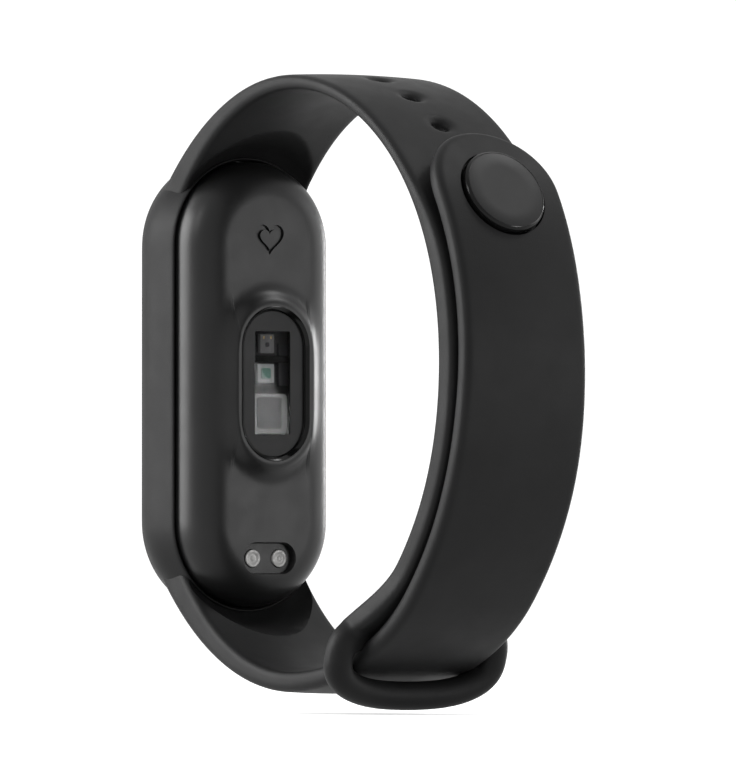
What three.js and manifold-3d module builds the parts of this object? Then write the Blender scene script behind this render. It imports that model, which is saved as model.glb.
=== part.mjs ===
// A fitness tracker band, closed round a wrist: a soft strap with a pod frame, a stud clasp and a
// keeper loop, and a pill-shaped tracker pod that pops out of the frame through its front.
//
// Millimetres. The origin is the middle of the wrist opening. +X points from the tracker to the
// clasp, Y runs along the wrist and +Z points up, along the tracker's length.
import * as THREE from "three";
import { mergeVertices } from "three/addons/utils/BufferGeometryUtils.js";
import Module from "manifold-3d";

const wasm = await Module();
wasm.setup();

// ---- driving dimensions ----------------------------------------------------------------------

const FIT = 0.1; // between parts that rest on each other inside the tracker

// The loop's inner surface is egg-shaped: its clasp side sits a little higher than the tracker, and
// the keeper loop draws it in below the clasp.
const loop = { clasp: 26.6, tracker: 25.5, height: 29.9, rise: 1.4, drawnIn: { above: 0.01, below: 0.05 } };

const strap = { width: 15.8, thickness: 2.1, between: 0.8, shoulder: 1.1 };
strap.lift = strap.thickness + strap.between; // how far the button arm lies outside the hole arm

// Stations along the strap, in degrees round the loop: 0 is the clasp side, 90 the top.
const station = {
  frame: 118, // where an arm leaves the pod frame, above and below
  frameRoot: 147,
  button: 30.6,
  tip: 50,
  bend: 0, // where the button arm peels away
  liftStart: -92,
  liftEnd: -50,
  neck: -50, // where the hole arm widens towards the keeper loop
  neckEnd: -65,
  seam: -72, // under the keeper loop
};
const SEAM = 0.6; // the same gap as between the strap's solids, in degrees round the loop

const sizeHole = { diameter: 3, spacing: 12, first: -6, last: 4 };
const button = { diameter: 9.4, thickness: 1, seat: 1, post: 2.3, head: 2.7, headHeight: 0.7 };

// The keeper loop is a rounded frame, tilted so that the button arm threads through it outwards.
const keeper = {
  x: 11.9, z: -28.5, tilt: 17.5, width: 22.2, length: 11, bar: 3, thickness: 3, round: 1.3, corner: 5.5,
};

// The tracker is drawn in depths from the outer face of its glass, positive towards the wrist.
const pod = {
  frontX: -25.7,
  width: 18.1,
  length: 46.9,
  rim: 1.3, // depth of the housing's front edge
  step: 4.7, // depth at which the flange steps in
  stepIn: 0.5,
  lip: 7.05, // depth of the strap's lip, where the back begins to round over
  back: 11.3,
  round: 4, // how far in from the outline the back goes flat
  wall: 1,
  clearance: 0.15,
};
const frame = { width: 20.1, front: 1.1, round: 1.2, roundDepth: 2.1 };
const glass = { width: 17, length: 45.8, thickness: 1.5, ledge: 1.9 };
const sensor = { width: 8, length: 15.1, top: 12.45, bezel: 0.6, lens: 0.8 };
const charge = { z: -18.2, spacing: 3.35, pin: 2, width: 6.5, height: 3.2, depth: 0.85 };
charge.floor = pod.back - charge.depth;
const board = { depth: 7.45, thickness: 0.6 };
const motor = { diameter: 4, z: 10.4, depth: 5, shaft: 0.8 };

const DEGREE = Math.PI / 180;

// ---- materials -------------------------------------------------------------------------------

function plain(color, roughness, metalness = 0) {
  return new THREE.MeshStandardMaterial({ color, roughness, metalness });
}
const look = {
  elastomer: plain(0x1d1d1e, 0.62),
  cap: plain(0x1a1a1b, 0.42),
  housing: plain(0x202021, 0.5),
  glass: plain(0x050506, 0.05),
  window: plain(0x0a0a0c, 0.1),
  black: plain(0x0b0b0c, 0.7),
  steel: plain(0x9d9d9c, 0.35, 1),
  board: plain(0x16301f, 0.6),
  chip: plain(0x1c1c1e, 0.5),
  foil: plain(0xb9bbbd, 0.3, 1),
  flex: plain(0x8a5a1c, 0.5),
  led: plain(0x7fae8f, 0.3),
  foam: plain(0x2c2c2e, 0.95),
  frame: plain(0x3a3a3c, 0.6),
};

// ---- solids and booleans ---------------------------------------------------------------------

function solid(geometry) {
  const bare = new THREE.BufferGeometry().setAttribute("position", geometry.getAttribute("position"));
  if (geometry.index) bare.setIndex(geometry.index);
  const merged = mergeVertices(bare, 1e-4);
  return new wasm.Manifold(
    new wasm.Mesh({
      numProp: 3,
      vertProperties: merged.attributes.position.array,
      triVerts: new Uint32Array(merged.index.array),
    }),
  );
}

function geometryOf(manifold) {
  const mesh = manifold.getMesh();
  const geometry = new THREE.BufferGeometry();
  geometry.setAttribute("position", new THREE.BufferAttribute(mesh.vertProperties, 3));
  geometry.setIndex(new THREE.BufferAttribute(mesh.triVerts, 1));
  geometry.computeVertexNormals();
  return geometry;
}

function cut(geometry, ...tools) {
  return geometryOf(tools.reduce((left, tool) => left.subtract(solid(tool)), solid(geometry)));
}

function join(geometry, ...others) {
  return geometryOf(others.reduce((all, other) => all.add(solid(other)), solid(geometry)));
}

function common(geometry, other) {
  return geometryOf(solid(geometry).intersect(solid(other)));
}

function part(group, name, geometry, material) {
  const mesh = new THREE.Mesh(geometry, material);
  mesh.name = name;
  group.add(mesh);
  return mesh;
}

// ---- shapes ----------------------------------------------------------------------------------

// A rectangle with round corners, as a path or as a shape.
function rounded(Outline, width, height, corner) {
  const x = width / 2 - corner;
  const y = height / 2 - corner;
  const outline = new Outline();
  outline.moveTo(-x, -y - corner);
  outline.absarc(x, -y, corner, -Math.PI / 2, 0);
  outline.absarc(x, y, corner, 0, Math.PI / 2);
  outline.absarc(-x, y, corner, Math.PI / 2, Math.PI);
  outline.absarc(-x, -y, corner, Math.PI, 1.5 * Math.PI);
  return outline;
}

// Turns an extrusion from the XY plane so that it runs along X, with its outline in Y and Z.
const ALONG_X = new THREE.Matrix4().set(0, 0, 1, 0, 1, 0, 0, 0, 0, 1, 0, 0, 0, 0, 0, 1);

// A pill-shaped or round-cornered plate from one depth to another, its outline in Y and Z.
function plate(width, length, from, to, { corner = width / 2, hole, segments = 8, bevel } = {}) {
  const shape = rounded(THREE.Shape, width, length, corner);
  if (hole) shape.holes.push(rounded(THREE.Path, hole.width, hole.length, hole.corner ?? hole.width / 2));
  const inset = bevel ? bevel.thickness : 0;
  const geometry = new THREE.ExtrudeGeometry(shape, {
    depth: to - from - 2 * inset,
    curveSegments: segments,
    bevelEnabled: Boolean(bevel),
    bevelThickness: inset,
    bevelSize: bevel?.size,
    bevelOffset: bevel ? -bevel.size : 0,
    bevelSegments: bevel?.segments,
  });
  geometry.translate(0, 0, from + inset);
  return geometry.applyMatrix4(ALONG_X);
}

function box(from, to, width, length) {
  return new THREE.BoxGeometry(to - from, width, length).translate((from + to) / 2, 0, 0);
}

// A cylinder along X, from one depth to another.
function disc(diameter, from, to, segments = 20) {
  const geometry = new THREE.CylinderGeometry(diameter / 2, diameter / 2, to - from, segments);
  return geometry.rotateZ(Math.PI / 2).translate((from + to) / 2, 0, 0);
}

// A body turned round X from (depth, radius) corners, which start and end on the axis.
function turned(corners, segments = 20) {
  const profile = corners.map(([depth, radius]) => new THREE.Vector2(radius, depth));
  return new THREE.LatheGeometry(profile, segments).rotateZ(-Math.PI / 2);
}

// ---- the strap -------------------------------------------------------------------------------

function innerSurface(degrees) {
  const angle = degrees * DEGREE;
  const across = Math.cos(angle);
  if (across < 0) return new THREE.Vector3(loop.tracker * across, 0, loop.height * Math.sin(angle));
  const draw = degrees < 0 ? loop.drawnIn.below : loop.drawnIn.above;
  const z = loop.height * Math.sin(angle) * (1 - draw * Math.sin(2 * angle) ** 2);
  return new THREE.Vector3(loop.clasp * across, 0, z + loop.rise * across ** 2);
}

// The frame at a station: X away from the wrist, Z along the strap.
function frameAt(degrees) {
  const along = innerSurface(degrees + 0.05).sub(innerSurface(degrees - 0.05)).normalize();
  const outward = new THREE.Vector3(along.z, 0, -along.x);
  const matrix = new THREE.Matrix4().makeBasis(outward, new THREE.Vector3(0, 1, 0), along);
  return matrix.setPosition(innerSurface(degrees));
}

const smooth = THREE.MathUtils.smoothstep;

// An arm grows thicker towards the pod frame.
function thicknessAt(degrees) {
  return strap.thickness + strap.shoulder * Math.max(0, (Math.abs(degrees) - 85) / 50) ** 2;
}

function buttonArmHeight(degrees) {
  return strap.lift * smooth(degrees, station.liftStart, station.liftEnd);
}

// The hole arm keeps clear of the button arm down to the keeper loop.
function holeArmHeight(degrees) {
  return degrees > 0 ? 0 : buttonArmHeight(degrees) - strap.lift;
}

// How much wider the hole arm gets where it turns into the keeper loop.
function neckWidth(degrees) {
  const full = (keeper.width - 1.2) / strap.width;
  return 1 + (full - 1) * smooth(-degrees, -station.neck, -station.neckEnd);
}

// An arm's section: flat against the skin, softly crowned outside, with round edges.
function armSection() {
  const half = strap.width / 2;
  const top = strap.thickness;
  const shoulder = top - 0.3;
  const section = new THREE.Shape();
  section.moveTo(-half + 0.7, 0);
  section.lineTo(half - 0.7, 0);
  section.quadraticCurveTo(half, 0, half, 0.45 * top);
  section.quadraticCurveTo(half, shoulder - 0.1, half - 1.6, shoulder);
  section.quadraticCurveTo(0, 2 * top - shoulder, -half + 1.6, shoulder);
  section.quadraticCurveTo(-half, shoulder - 0.1, -half, 0.45 * top);
  section.quadraticCurveTo(-half, 0, -half + 0.7, 0);
  return section;
}

const STEP = 7; // degrees between two sections of an arm

// A length of strap, drawn straight and then bent round the loop.
function arm(from, to, heightAt, widthAt = () => 1) {
  const steps = Math.ceil((to - from) / STEP);
  const geometry = new THREE.ExtrudeGeometry(armSection(), {
    depth: 1, steps, curveSegments: 3, bevelEnabled: false,
  });
  const position = geometry.getAttribute("position");
  const point = new THREE.Vector3();
  for (let i = 0; i < position.count; i++) {
    const degrees = THREE.MathUtils.lerp(from, to, position.getZ(i));
    const thicker = thicknessAt(degrees) / strap.thickness;
    const outward = heightAt(degrees) + thicker * position.getY(i);
    point.set(outward, -widthAt(degrees) * position.getX(i), 0).applyMatrix4(frameAt(degrees));
    position.setXYZ(i, point.x, point.y, point.z);
  }
  return geometry;
}

// Moves a body drawn round the X axis to a station, where X points away from the wrist.
function atStation(geometry, degrees) {
  return geometry.applyMatrix4(frameAt(degrees));
}

function podOpening() {
  const room = 2 * pod.clearance;
  const inside = 2 * (pod.stepIn - pod.clearance);
  const past = pod.back + 3;
  return join(
    plate(pod.width + room, pod.length + room, -1, pod.step + pod.clearance),
    plate(pod.width - inside, pod.length - inside, pod.step, past),
  ).translate(pod.frontX, 0, 0);
}

function podFrame() {
  const length = pod.length + frame.width - pod.width;
  const ring = plate(frame.width, length, frame.front, pod.lip, {
    bevel: { thickness: frame.roundDepth, size: frame.round, segments: 3 }, segments: 9,
  }).translate(pod.frontX, 0, 0);
  const upper = arm(station.frame, station.frameRoot, () => 0);
  const lower = arm(-station.frameRoot, -station.frame, () => 0);
  return cut(join(ring, upper, lower), podOpening());
}

function holeArm() {
  const holes = [];
  for (let i = sizeHole.first; i <= sizeHole.last; i++) {
    const hole = disc(sizeHole.diameter, -3, 5, 16);
    holes.push(atStation(hole, station.button + i * sizeHole.spacing));
  }
  return cut(arm(station.neck, station.frame - SEAM, holeArmHeight), ...holes);
}

// The frame of the keeper, with the widening end of the hole arm.
function keeperLoop() {
  const ring = plate(keeper.width, keeper.length, -keeper.thickness / 2, keeper.thickness / 2, {
    corner: keeper.corner,
    hole: { width: keeper.width - 2 * keeper.bar, length: keeper.length - 2 * keeper.bar, corner: 2.3 },
    bevel: { thickness: keeper.round, size: keeper.round, segments: 3 },
    segments: 5,
  });
  ring.rotateY(keeper.tilt * DEGREE).translate(keeper.x, 0, keeper.z);
  const neck = arm(station.neckEnd, station.neck - SEAM, holeArmHeight, neckWidth);
  return join(ring, neck);
}

function buttonArmTip() {
  const outside = strap.lift + strap.thickness;
  const seat = outside - button.seat;
  const whole = arm(station.bend, station.tip, () => strap.lift);
  // The free end is a half round, drawn square to the button's axis.
  const end = 7.8;
  const reach = 60;
  const outline = rounded(THREE.Shape, strap.width - 0.6, end + reach, strap.width / 2 - 0.3);
  const round = new THREE.ExtrudeGeometry(outline, { depth: 20, curveSegments: 10, bevelEnabled: false });
  round.translate(0, (end - reach) / 2, outside - 12).applyMatrix4(ALONG_X);
  return cut(
    common(whole, atStation(round, station.button)),
    atStation(disc(button.diameter + 0.4, seat, seat + 5, 28), station.button),
    atStation(disc(button.post + 0.4, seat - 5, seat + 1, 16), station.button),
  );
}

function strapGroup() {
  const group = new THREE.Group();
  const { seam, bend, frame: root } = station;
  part(group, "pod_frame", podFrame(), look.elastomer);
  part(group, "hole_arm", holeArm(), look.elastomer);
  part(group, "keeper_loop", keeperLoop(), look.elastomer);
  part(group, "button_arm_root", arm(-root + SEAM, seam, buttonArmHeight), look.elastomer);
  part(group, "button_arm", arm(seam + SEAM, bend - SEAM, buttonArmHeight), look.elastomer);
  part(group, "button_arm_tip", buttonArmTip(), look.elastomer);
  return group;
}

// ---- the clasp's stud ------------------------------------------------------------------------

// Drawn along X, from the strap's inner surface, and moved to its station.
function stud() {
  const group = new THREE.Group();
  const seat = strap.lift + strap.thickness - button.seat + FIT;
  const face = seat + button.thickness;
  const edge = button.diameter / 2;
  const cap = turned([[seat, 0], [seat, edge], [face - 0.25, edge], [face, edge - 0.25], [face, 0]], 28);
  const headEnd = -0.15;
  const head = button.head / 2;
  const post = turned([
    [headEnd - button.headHeight, 0],
    [headEnd - button.headHeight, head - 0.5],
    [headEnd - 0.3, head],
    [headEnd, head],
    [headEnd, button.post / 2],
    [seat - FIT / 2, button.post / 2],
    [seat - FIT / 2, 0],
  ]);
  part(group, "button_cap", cap, look.cap);
  part(group, "button_post", post, look.steel);
  group.applyMatrix4(frameAt(station.button));
  return group;
}

// ---- the tracker -----------------------------------------------------------------------------

function backHousing() {
  const { width, length, stepIn, wall, round } = pod;
  const bodyWidth = width - 2 * stepIn;
  const bodyLength = length - 2 * stepIn;
  const rounding = pod.back - pod.lip;
  // A bevelled plate twice as deep, of which only the rounded back half is kept.
  const back = common(
    plate(bodyWidth, bodyLength, pod.lip - 2 * rounding, pod.back, {
      bevel: { thickness: rounding, size: round, segments: 5 }, segments: 9,
    }),
    box(pod.step - FIT, pod.back + 1, 30, 60),
  );
  const flange = plate(width, length, pod.rim, pod.step, { segments: 9 });
  const mound = plate(sensor.width + 2 * sensor.bezel, sensor.length + 2 * sensor.bezel, pod.back - 2,
    sensor.top, { bevel: { thickness: 0.4, size: 0.4, segments: 2 } });
  const innerRounding = rounding - wall;
  const inside = common(
    plate(bodyWidth - 2 * wall, bodyLength - 2 * wall, pod.lip - 2 * innerRounding - 0.3, pod.back - 1.3, {
      bevel: { thickness: innerRounding, size: round - wall, segments: 4 },
    }),
    box(pod.lip - innerRounding, pod.back, 30, 60),
  );
  const cavity = plate(bodyWidth - 2 * wall, bodyLength - 2 * wall, 0, pod.lip - 0.2);
  const lensSeat = sensor.top - sensor.lens - 2 * FIT - 0.15;
  const recess = plate(charge.width, charge.height, charge.floor, pod.back + 1, {
    corner: charge.height / 2, segments: 5,
  }).translate(0, 0, charge.z);
  const pinHoles = [-1, 1].map((side) =>
    disc(charge.pin + 0.2, pod.back - 3, pod.back, 16).translate(0, (side * charge.spacing) / 2, charge.z),
  );
  return cut(
    join(back, flange, mound),
    cavity,
    inside,
    plate(glass.width + 0.3, glass.length + 0.3, -1, glass.ledge),
    plate(sensor.width + 0.2, sensor.length + 0.2, lensSeat, sensor.top + 1),
    plate(sensor.width - 1.4, sensor.length - 1.4, pod.back - 3, sensor.top),
    recess,
    ...pinHoles,
  );
}

function displayStack(group) {
  const back = glass.thickness;
  const bevel = { thickness: 0.7, size: 0.7, segments: 3 };
  part(group, "front_glass", plate(glass.width, glass.length, 0, back, { bevel }), look.glass);
  const gasketHole = { width: glass.width - 3.2, length: glass.length - 3.2 };
  const ledge = glass.ledge - 0.05;
  part(group, "glass_gasket", plate(glass.width - 0.2, glass.length - 0.2, back + 0.05, ledge,
    { hole: gasketHole }), look.foam);
  part(group, "display_module", plate(12.4, 26.6, back + 0.05, 2.35, { corner: 1.2, segments: 3 })
    .translate(0, 0, 3.2), look.glass);
  part(group, "touch_sensor", disc(9, back + 0.05, 2).translate(0, 0, -15.6), look.flex);
  part(group, "display_flex", box(2.45, 2.6, 7, 16).translate(0, 0, 2), look.flex);
}

function powerAndBoards(group) {
  const battery = { from: 2.95, to: 7, width: 10.8, length: 21.6, z: -5.4 };
  const ringWidth = 14.8;
  const ringLength = 43;
  const ring = plate(ringWidth, ringLength, 2.7, 7.05, {
    hole: { width: ringWidth - 1.8, length: ringLength - 1.8 },
  });
  const web = box(2.7, 7.05, ringWidth - 1, 0.8).translate(0, 0, 6.4);
  part(group, "inner_frame", join(ring, web), look.frame);
  part(group, "battery", plate(battery.width, battery.length, battery.from, battery.to,
    { corner: 1, segments: 3 }).translate(0, 0, battery.z), look.foil);
  part(group, "battery_pad", box(battery.to + FIT, board.depth - FIT, 8, 18).translate(0, 0, battery.z),
    look.foam);
  const boardBack = board.depth + board.thickness;
  part(group, "main_board", plate(13.4, 41.6, board.depth, boardBack), look.board);

  const can = { width: 8.2, length: 9, z: 13.6, wall: 0.2, back: 9.2 };
  const shield = cut(
    box(boardBack + 0.05, can.back, can.width, can.length),
    box(boardBack - 1, can.back - can.wall, can.width - 2 * can.wall, can.length - 2 * can.wall),
  ).translate(0, 0, can.z);
  part(group, "shield_can", shield, look.foil);
  part(group, "processor_chip", box(boardBack + 0.05, 8.75, 4, 4.6).translate(0, 0, can.z), look.chip);
  part(group, "motion_chip", box(boardBack + 0.05, 8.95, 2.5, 2.5).translate(0, -3, -9.4), look.chip);
  part(group, "antenna", box(3, 6.9, 6, 0.25).translate(0, 0, 18.8), look.flex);
}

// A small motor with an off-centre weight, which makes the tracker buzz.
function vibrationMotor(group) {
  const centre = [motor.depth, 0, motor.z];
  const alongY = (geometry, from) => geometry.rotateZ(Math.PI / 2).translate(0, from, 0);
  const caseLength = 6.4;
  const start = -5.6;
  const can = cut(
    alongY(disc(motor.diameter, 0, caseLength, 24), start),
    alongY(disc(motor.shaft + 0.2, caseLength - 3, caseLength + 1, 12), start),
  );
  part(group, "motor_case", can, look.steel).position.set(...centre);
  const shaft = alongY(disc(motor.shaft, caseLength - 2.8, 10.4, 12), start);
  part(group, "motor_shaft", shaft, look.steel).position.set(...centre);
  const half = new THREE.Shape().absarc(0, 0, motor.diameter / 2 - 0.1, Math.PI, 2 * Math.PI);
  const sector = new THREE.ExtrudeGeometry(half, { depth: 2.8, curveSegments: 10, bevelEnabled: false });
  const hub = disc(2, 0, 2.8, 16).rotateY(-Math.PI / 2);
  const bore = disc(motor.shaft + 0.1, -1, 4, 12).rotateY(-Math.PI / 2);
  const weight = cut(join(sector, hub), bore).rotateX(-Math.PI / 2).translate(0, start + caseLength + 0.5, 0);
  part(group, "motor_weight", weight, look.steel).position.set(...centre);
}

function opticalSensor(group) {
  const lensFront = sensor.top - FIT - sensor.lens;
  const boardDepth = 10;
  const top = boardDepth + 0.5;
  part(group, "sensor_window", plate(sensor.width, sensor.length, lensFront, sensor.top - FIT,
    { bevel: { thickness: 0.15, size: 0.15, segments: 1 } }), look.window);
  part(group, "window_mask", plate(sensor.width - 0.3, sensor.length - 0.3, lensFront - 0.2,
    lensFront - 0.05, { hole: { width: 4.6, length: 10.9, corner: 0.5 }, segments: 5 }), look.black);
  part(group, "sensor_board", plate(6.2, 13.3, boardDepth, top, { corner: 3, segments: 4 }), look.black);
  const chip = (name, width, length, y, z, height, material) =>
    part(group, name, box(top + 0.05, top + 0.05 + height, width, length), material).position.set(0, y, z);
  chip("infrared_led", 1.8, 2, -0.5, 4.2, 0.5, look.chip);
  chip("green_led", 2.1, 1.9, -0.4, 1.1, 0.5, look.led);
  chip("photodiode", 3.5, 3.8, -0.2, -3.1, 0.45, look.chip);
  chip("light_baffle", 5, 0.7, 0, 2.6, 0.7, look.black);
  part(group, "sensor_flex", box(board.depth + board.thickness + 0.05, boardDepth - 0.05, 3, 0.2)
    .translate(0, 0, -5.6), look.flex);
}

function chargingContacts(group) {
  const inner = pod.back - 1.55; // just inside the housing's back wall
  const boardBack = board.depth + board.thickness;
  const pin = charge.pin / 2;
  for (const [side, label] of [[-1, "near"], [1, "far"]]) {
    const y = (side * charge.spacing) / 2;
    const contact = turned([
      [inner - 0.5, 0], [inner - 0.5, 1.4], [inner, 1.4], [inner, pin],
      [charge.floor + 0.15, pin], [charge.floor + 0.15, 0],
    ]);
    part(group, `charge_contact_${label}`, contact, look.steel).position.set(0, y, charge.z);
    const spring = disc(1.2, boardBack + 0.05, inner - 0.55, 12);
    part(group, `contact_spring_${label}`, spring, look.steel).position.set(0, y, charge.z);
    const magnet = disc(2.6, boardBack + 0.2, 9.4, 16);
    part(group, `charge_magnet_${label}`, magnet, look.steel).position.set(0, side * 2.7, -13.6);
  }
}

function trackerGroup() {
  const group = new THREE.Group();
  part(group, "back_housing", backHousing(), look.housing);
  displayStack(group);
  powerAndBoards(group);
  vibrationMotor(group);
  opticalSensor(group);
  chargingContacts(group);
  group.position.x = pod.frontX;
  return group;
}

const band = new THREE.Group();
band.add(strapGroup(), stud(), trackerGroup());

export default band;
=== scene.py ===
"""Looks for a fitness tracker band: a soft strap closed in a ring, and the tracker that it holds.

Shapes are drawn in millimetres in the CAD's own frame and become metres when a piece is finished.
"""

import math

import bmesh
import bpy
from mathutils import Matrix, Vector


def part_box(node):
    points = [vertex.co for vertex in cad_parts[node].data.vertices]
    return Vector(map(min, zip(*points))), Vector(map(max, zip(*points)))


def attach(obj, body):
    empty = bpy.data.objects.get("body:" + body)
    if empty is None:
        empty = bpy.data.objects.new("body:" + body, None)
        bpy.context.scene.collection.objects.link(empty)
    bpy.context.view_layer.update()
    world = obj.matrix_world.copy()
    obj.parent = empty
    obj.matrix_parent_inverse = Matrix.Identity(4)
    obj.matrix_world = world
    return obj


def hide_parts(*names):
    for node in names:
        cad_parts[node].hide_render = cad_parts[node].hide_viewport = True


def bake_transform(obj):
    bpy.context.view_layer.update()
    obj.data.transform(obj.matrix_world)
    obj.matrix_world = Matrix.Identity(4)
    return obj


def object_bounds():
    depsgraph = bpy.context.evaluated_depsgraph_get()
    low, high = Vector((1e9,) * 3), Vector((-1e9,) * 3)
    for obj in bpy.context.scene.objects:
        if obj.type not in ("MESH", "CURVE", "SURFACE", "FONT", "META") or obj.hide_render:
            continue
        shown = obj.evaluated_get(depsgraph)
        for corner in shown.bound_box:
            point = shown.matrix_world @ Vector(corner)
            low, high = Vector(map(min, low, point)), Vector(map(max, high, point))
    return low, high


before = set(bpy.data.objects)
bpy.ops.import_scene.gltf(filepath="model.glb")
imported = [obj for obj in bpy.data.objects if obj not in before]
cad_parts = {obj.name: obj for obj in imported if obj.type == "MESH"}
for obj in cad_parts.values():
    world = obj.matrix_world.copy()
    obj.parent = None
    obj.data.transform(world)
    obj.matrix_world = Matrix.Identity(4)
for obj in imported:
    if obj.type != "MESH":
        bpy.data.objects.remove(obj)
CAD_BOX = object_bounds()
MM = 0.001


def box_mm(node):
    """A CAD node's lowest and highest corners, in millimetres."""
    low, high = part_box(node)
    return Vector(low) / MM, Vector(high) / MM


# ---- dimensions ------------------------------------------------------------------------------

# The loop's inner surface, as in the CAD: an egg shape whose clasp side sits a little higher.
LOOP_CLASP, LOOP_TRACKER, LOOP_HEIGHT = 26.6, 25.5, 29.9
LOOP_RISE, DRAWN_IN_ABOVE, DRAWN_IN_BELOW = 1.4, 0.01, 0.05

STRAP_HALF = box_mm("hole_arm")[1].y
THICKNESS = 2.1
LIFT = 2.9  # how far the button arm lies outside the hole arm
LIFT_START, LIFT_END = -89, -46  # degrees round the loop, where 0 is the clasp side
CROWN = 0.2
INNER_EDGE = 0.6  # the radii of an arm's long edges

FRAME_ROOT = 150  # how far an arm runs into the pod frame, in degrees
BUTTON_STATION = 30.6
NECK_START, NECK_END = -43, -62.5  # where the hole arm widens towards the keeper, and ends
HOLE_SPACING, HOLE_COUNT_BELOW, HOLE_COUNT_ABOVE = 12, 6, 4

KEEPER_CENTRE = Vector((11.9, 0, -28.5))
KEEPER_TILT = 17.5  # degrees
KEEPER_HALF_HEIGHT = 5.5
KEEPER_TUBE = 1.5  # the radius of its round section

# The tracker is drawn in depths from the outer face of its glass, positive towards the wrist.
FRONT_X = box_mm("front_glass")[0].x
POD_HALF_WIDTH = box_mm("back_housing")[1].y
POD_END = box_mm("back_housing")[1].z - POD_HALF_WIDTH  # the middle of each of its round ends
BODY_RADIUS = POD_HALF_WIDTH - 0.15
LIP = 7.05
BACK = 11.3
BACK_FLAT = 5.0  # how far the back stays flat from its middle line
ISLAND_TOP = box_mm("back_housing")[1].x - FRONT_X
FRAME_RADIUS = box_mm("pod_frame")[1].y - 0.2

WINDOW = box_mm("sensor_window")[1]
WINDOW_RADIUS = WINDOW.y - 0.15
WINDOW_END = WINDOW.z - WINDOW.y + 0.25
WINDOW_DEPTH = ISLAND_TOP - 0.6

CONTACT_LOW, CONTACT_HIGH = box_mm("charge_contact_near")
CONTACT_Z = (CONTACT_LOW.z + CONTACT_HIGH.z) / 2
CONTACT_Y = (CONTACT_LOW.y + CONTACT_HIGH.y) / 2
CONTACT_FACE = CONTACT_HIGH.x - FRONT_X


# ---- the loop --------------------------------------------------------------------------------

def smoothstep(value, start, stop):
    """Rises softly from 0 at start to 1 at stop."""
    t = min(1, max(0, (value - start) / (stop - start)))
    return t * t * (3 - 2 * t)


def inner_surface(degrees):
    """The point on the loop's inner surface at a station, in the middle of the strap's width."""
    angle = math.radians(degrees)
    across = math.cos(angle)
    z = LOOP_HEIGHT * math.sin(angle)
    if across < 0:
        return Vector((LOOP_TRACKER * across, 0, z))
    draw = DRAWN_IN_BELOW if degrees < 0 else DRAWN_IN_ABOVE
    z *= 1 - draw * math.sin(2 * angle) ** 2
    return Vector((LOOP_CLASP * across, 0, z + LOOP_RISE * across**2))


def frame_at(degrees):
    """The frame at a station on the loop: X away from the wrist, Z along the strap."""
    along = (inner_surface(degrees + 0.05) - inner_surface(degrees - 0.05)).normalized()
    outward = Vector((along.z, 0, -along.x))
    return Matrix.LocRotScale(
        inner_surface(degrees), Matrix((outward, Vector((0, 1, 0)), along)).transposed(), None
    )


def shoulder(degrees):
    """Both arms grow thicker towards the pod frame."""
    return 1.4 * max(0, (abs(degrees) - 85) / 50) ** 2


def hole_arm_thickness(degrees):
    """The hole arm is thin over the top and fills the room under the button arm."""
    clasp_side = 1.05 * (1 - smoothstep(degrees, 16, 46))
    keeper_end = -0.5 * smoothstep(-degrees, 55, 66)
    top = 0.2 * smoothstep(degrees, 75, 110)
    return THICKNESS - 0.45 + clasp_side + keeper_end + top + shoulder(degrees)


def button_arm_thickness(degrees):
    return THICKNESS + 0.2 * smoothstep(-degrees, 60, 95) + shoulder(degrees)


def button_arm_height(degrees):
    return LIFT * smoothstep(degrees, LIFT_START, LIFT_END)


def hole_arm_height(degrees):
    return 0 if degrees > 0 else button_arm_height(degrees) - LIFT


# ---- mesh tools ------------------------------------------------------------------------------

def loft(rings, endless=False):
    """A closed body through rings of points. Endless bodies join the last ring to the first."""
    bm = bmesh.new()
    rows = [[bm.verts.new(point) for point in ring] for ring in rings]
    pairs = list(zip(rows, rows[1:]))
    if endless:
        pairs.append((rows[-1], rows[0]))
    count = len(rows[0])
    for row, following in pairs:
        for i in range(count):
            j = (i + 1) % count
            bm.faces.new((row[i], row[j], following[j], following[i]))
    if not endless:
        bm.faces.new(rows[0])
        bm.faces.new(rows[-1])
    bmesh.ops.recalc_face_normals(bm, faces=bm.faces)
    return bm


def turned(profile, matrix, count=64, endless=False):
    """A body turned round the local X axis, from (x, radius) corners. Endless ones have a hole."""
    rings = []
    for x, radius in profile:
        angles = (2 * math.pi * i / count for i in range(count))
        rings.append([matrix @ Vector((x, radius * math.cos(a), radius * math.sin(a))) for a in angles])
    return loft(rings, endless)


def merged(*bodies):
    """One bmesh that holds several bodies, which may overlap."""
    total = bmesh.new()
    for bm in bodies:
        mesh = bpy.data.meshes.new("part")
        bm.to_mesh(mesh)
        total.from_mesh(mesh)
        bpy.data.meshes.remove(mesh)
    return total


def as_object(name, bm):
    mesh = bpy.data.meshes.new(name)
    bm.to_mesh(mesh)
    bm.free()
    obj = bpy.data.objects.new(name, mesh)
    bpy.context.scene.collection.objects.link(obj)
    return obj


def apply_modifiers(obj):
    """Keeps what the modifiers made as the object's own mesh."""
    depsgraph = bpy.context.evaluated_depsgraph_get()
    mesh = bpy.data.meshes.new_from_object(obj.evaluated_get(depsgraph))
    obj.modifiers.clear()
    old, obj.data = obj.data, mesh
    bpy.data.meshes.remove(old)


def carve(obj, cutters):
    """Takes the cutters, which must not overlap one another, out of an object."""
    tool = as_object("cutter", cutters)
    cut = obj.modifiers.new("carve", "BOOLEAN")
    cut.operation = "DIFFERENCE"
    cut.solver = "EXACT"
    cut.object = tool
    apply_modifiers(obj)
    mesh = tool.data
    bpy.data.objects.remove(tool)
    bpy.data.meshes.remove(mesh)


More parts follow.
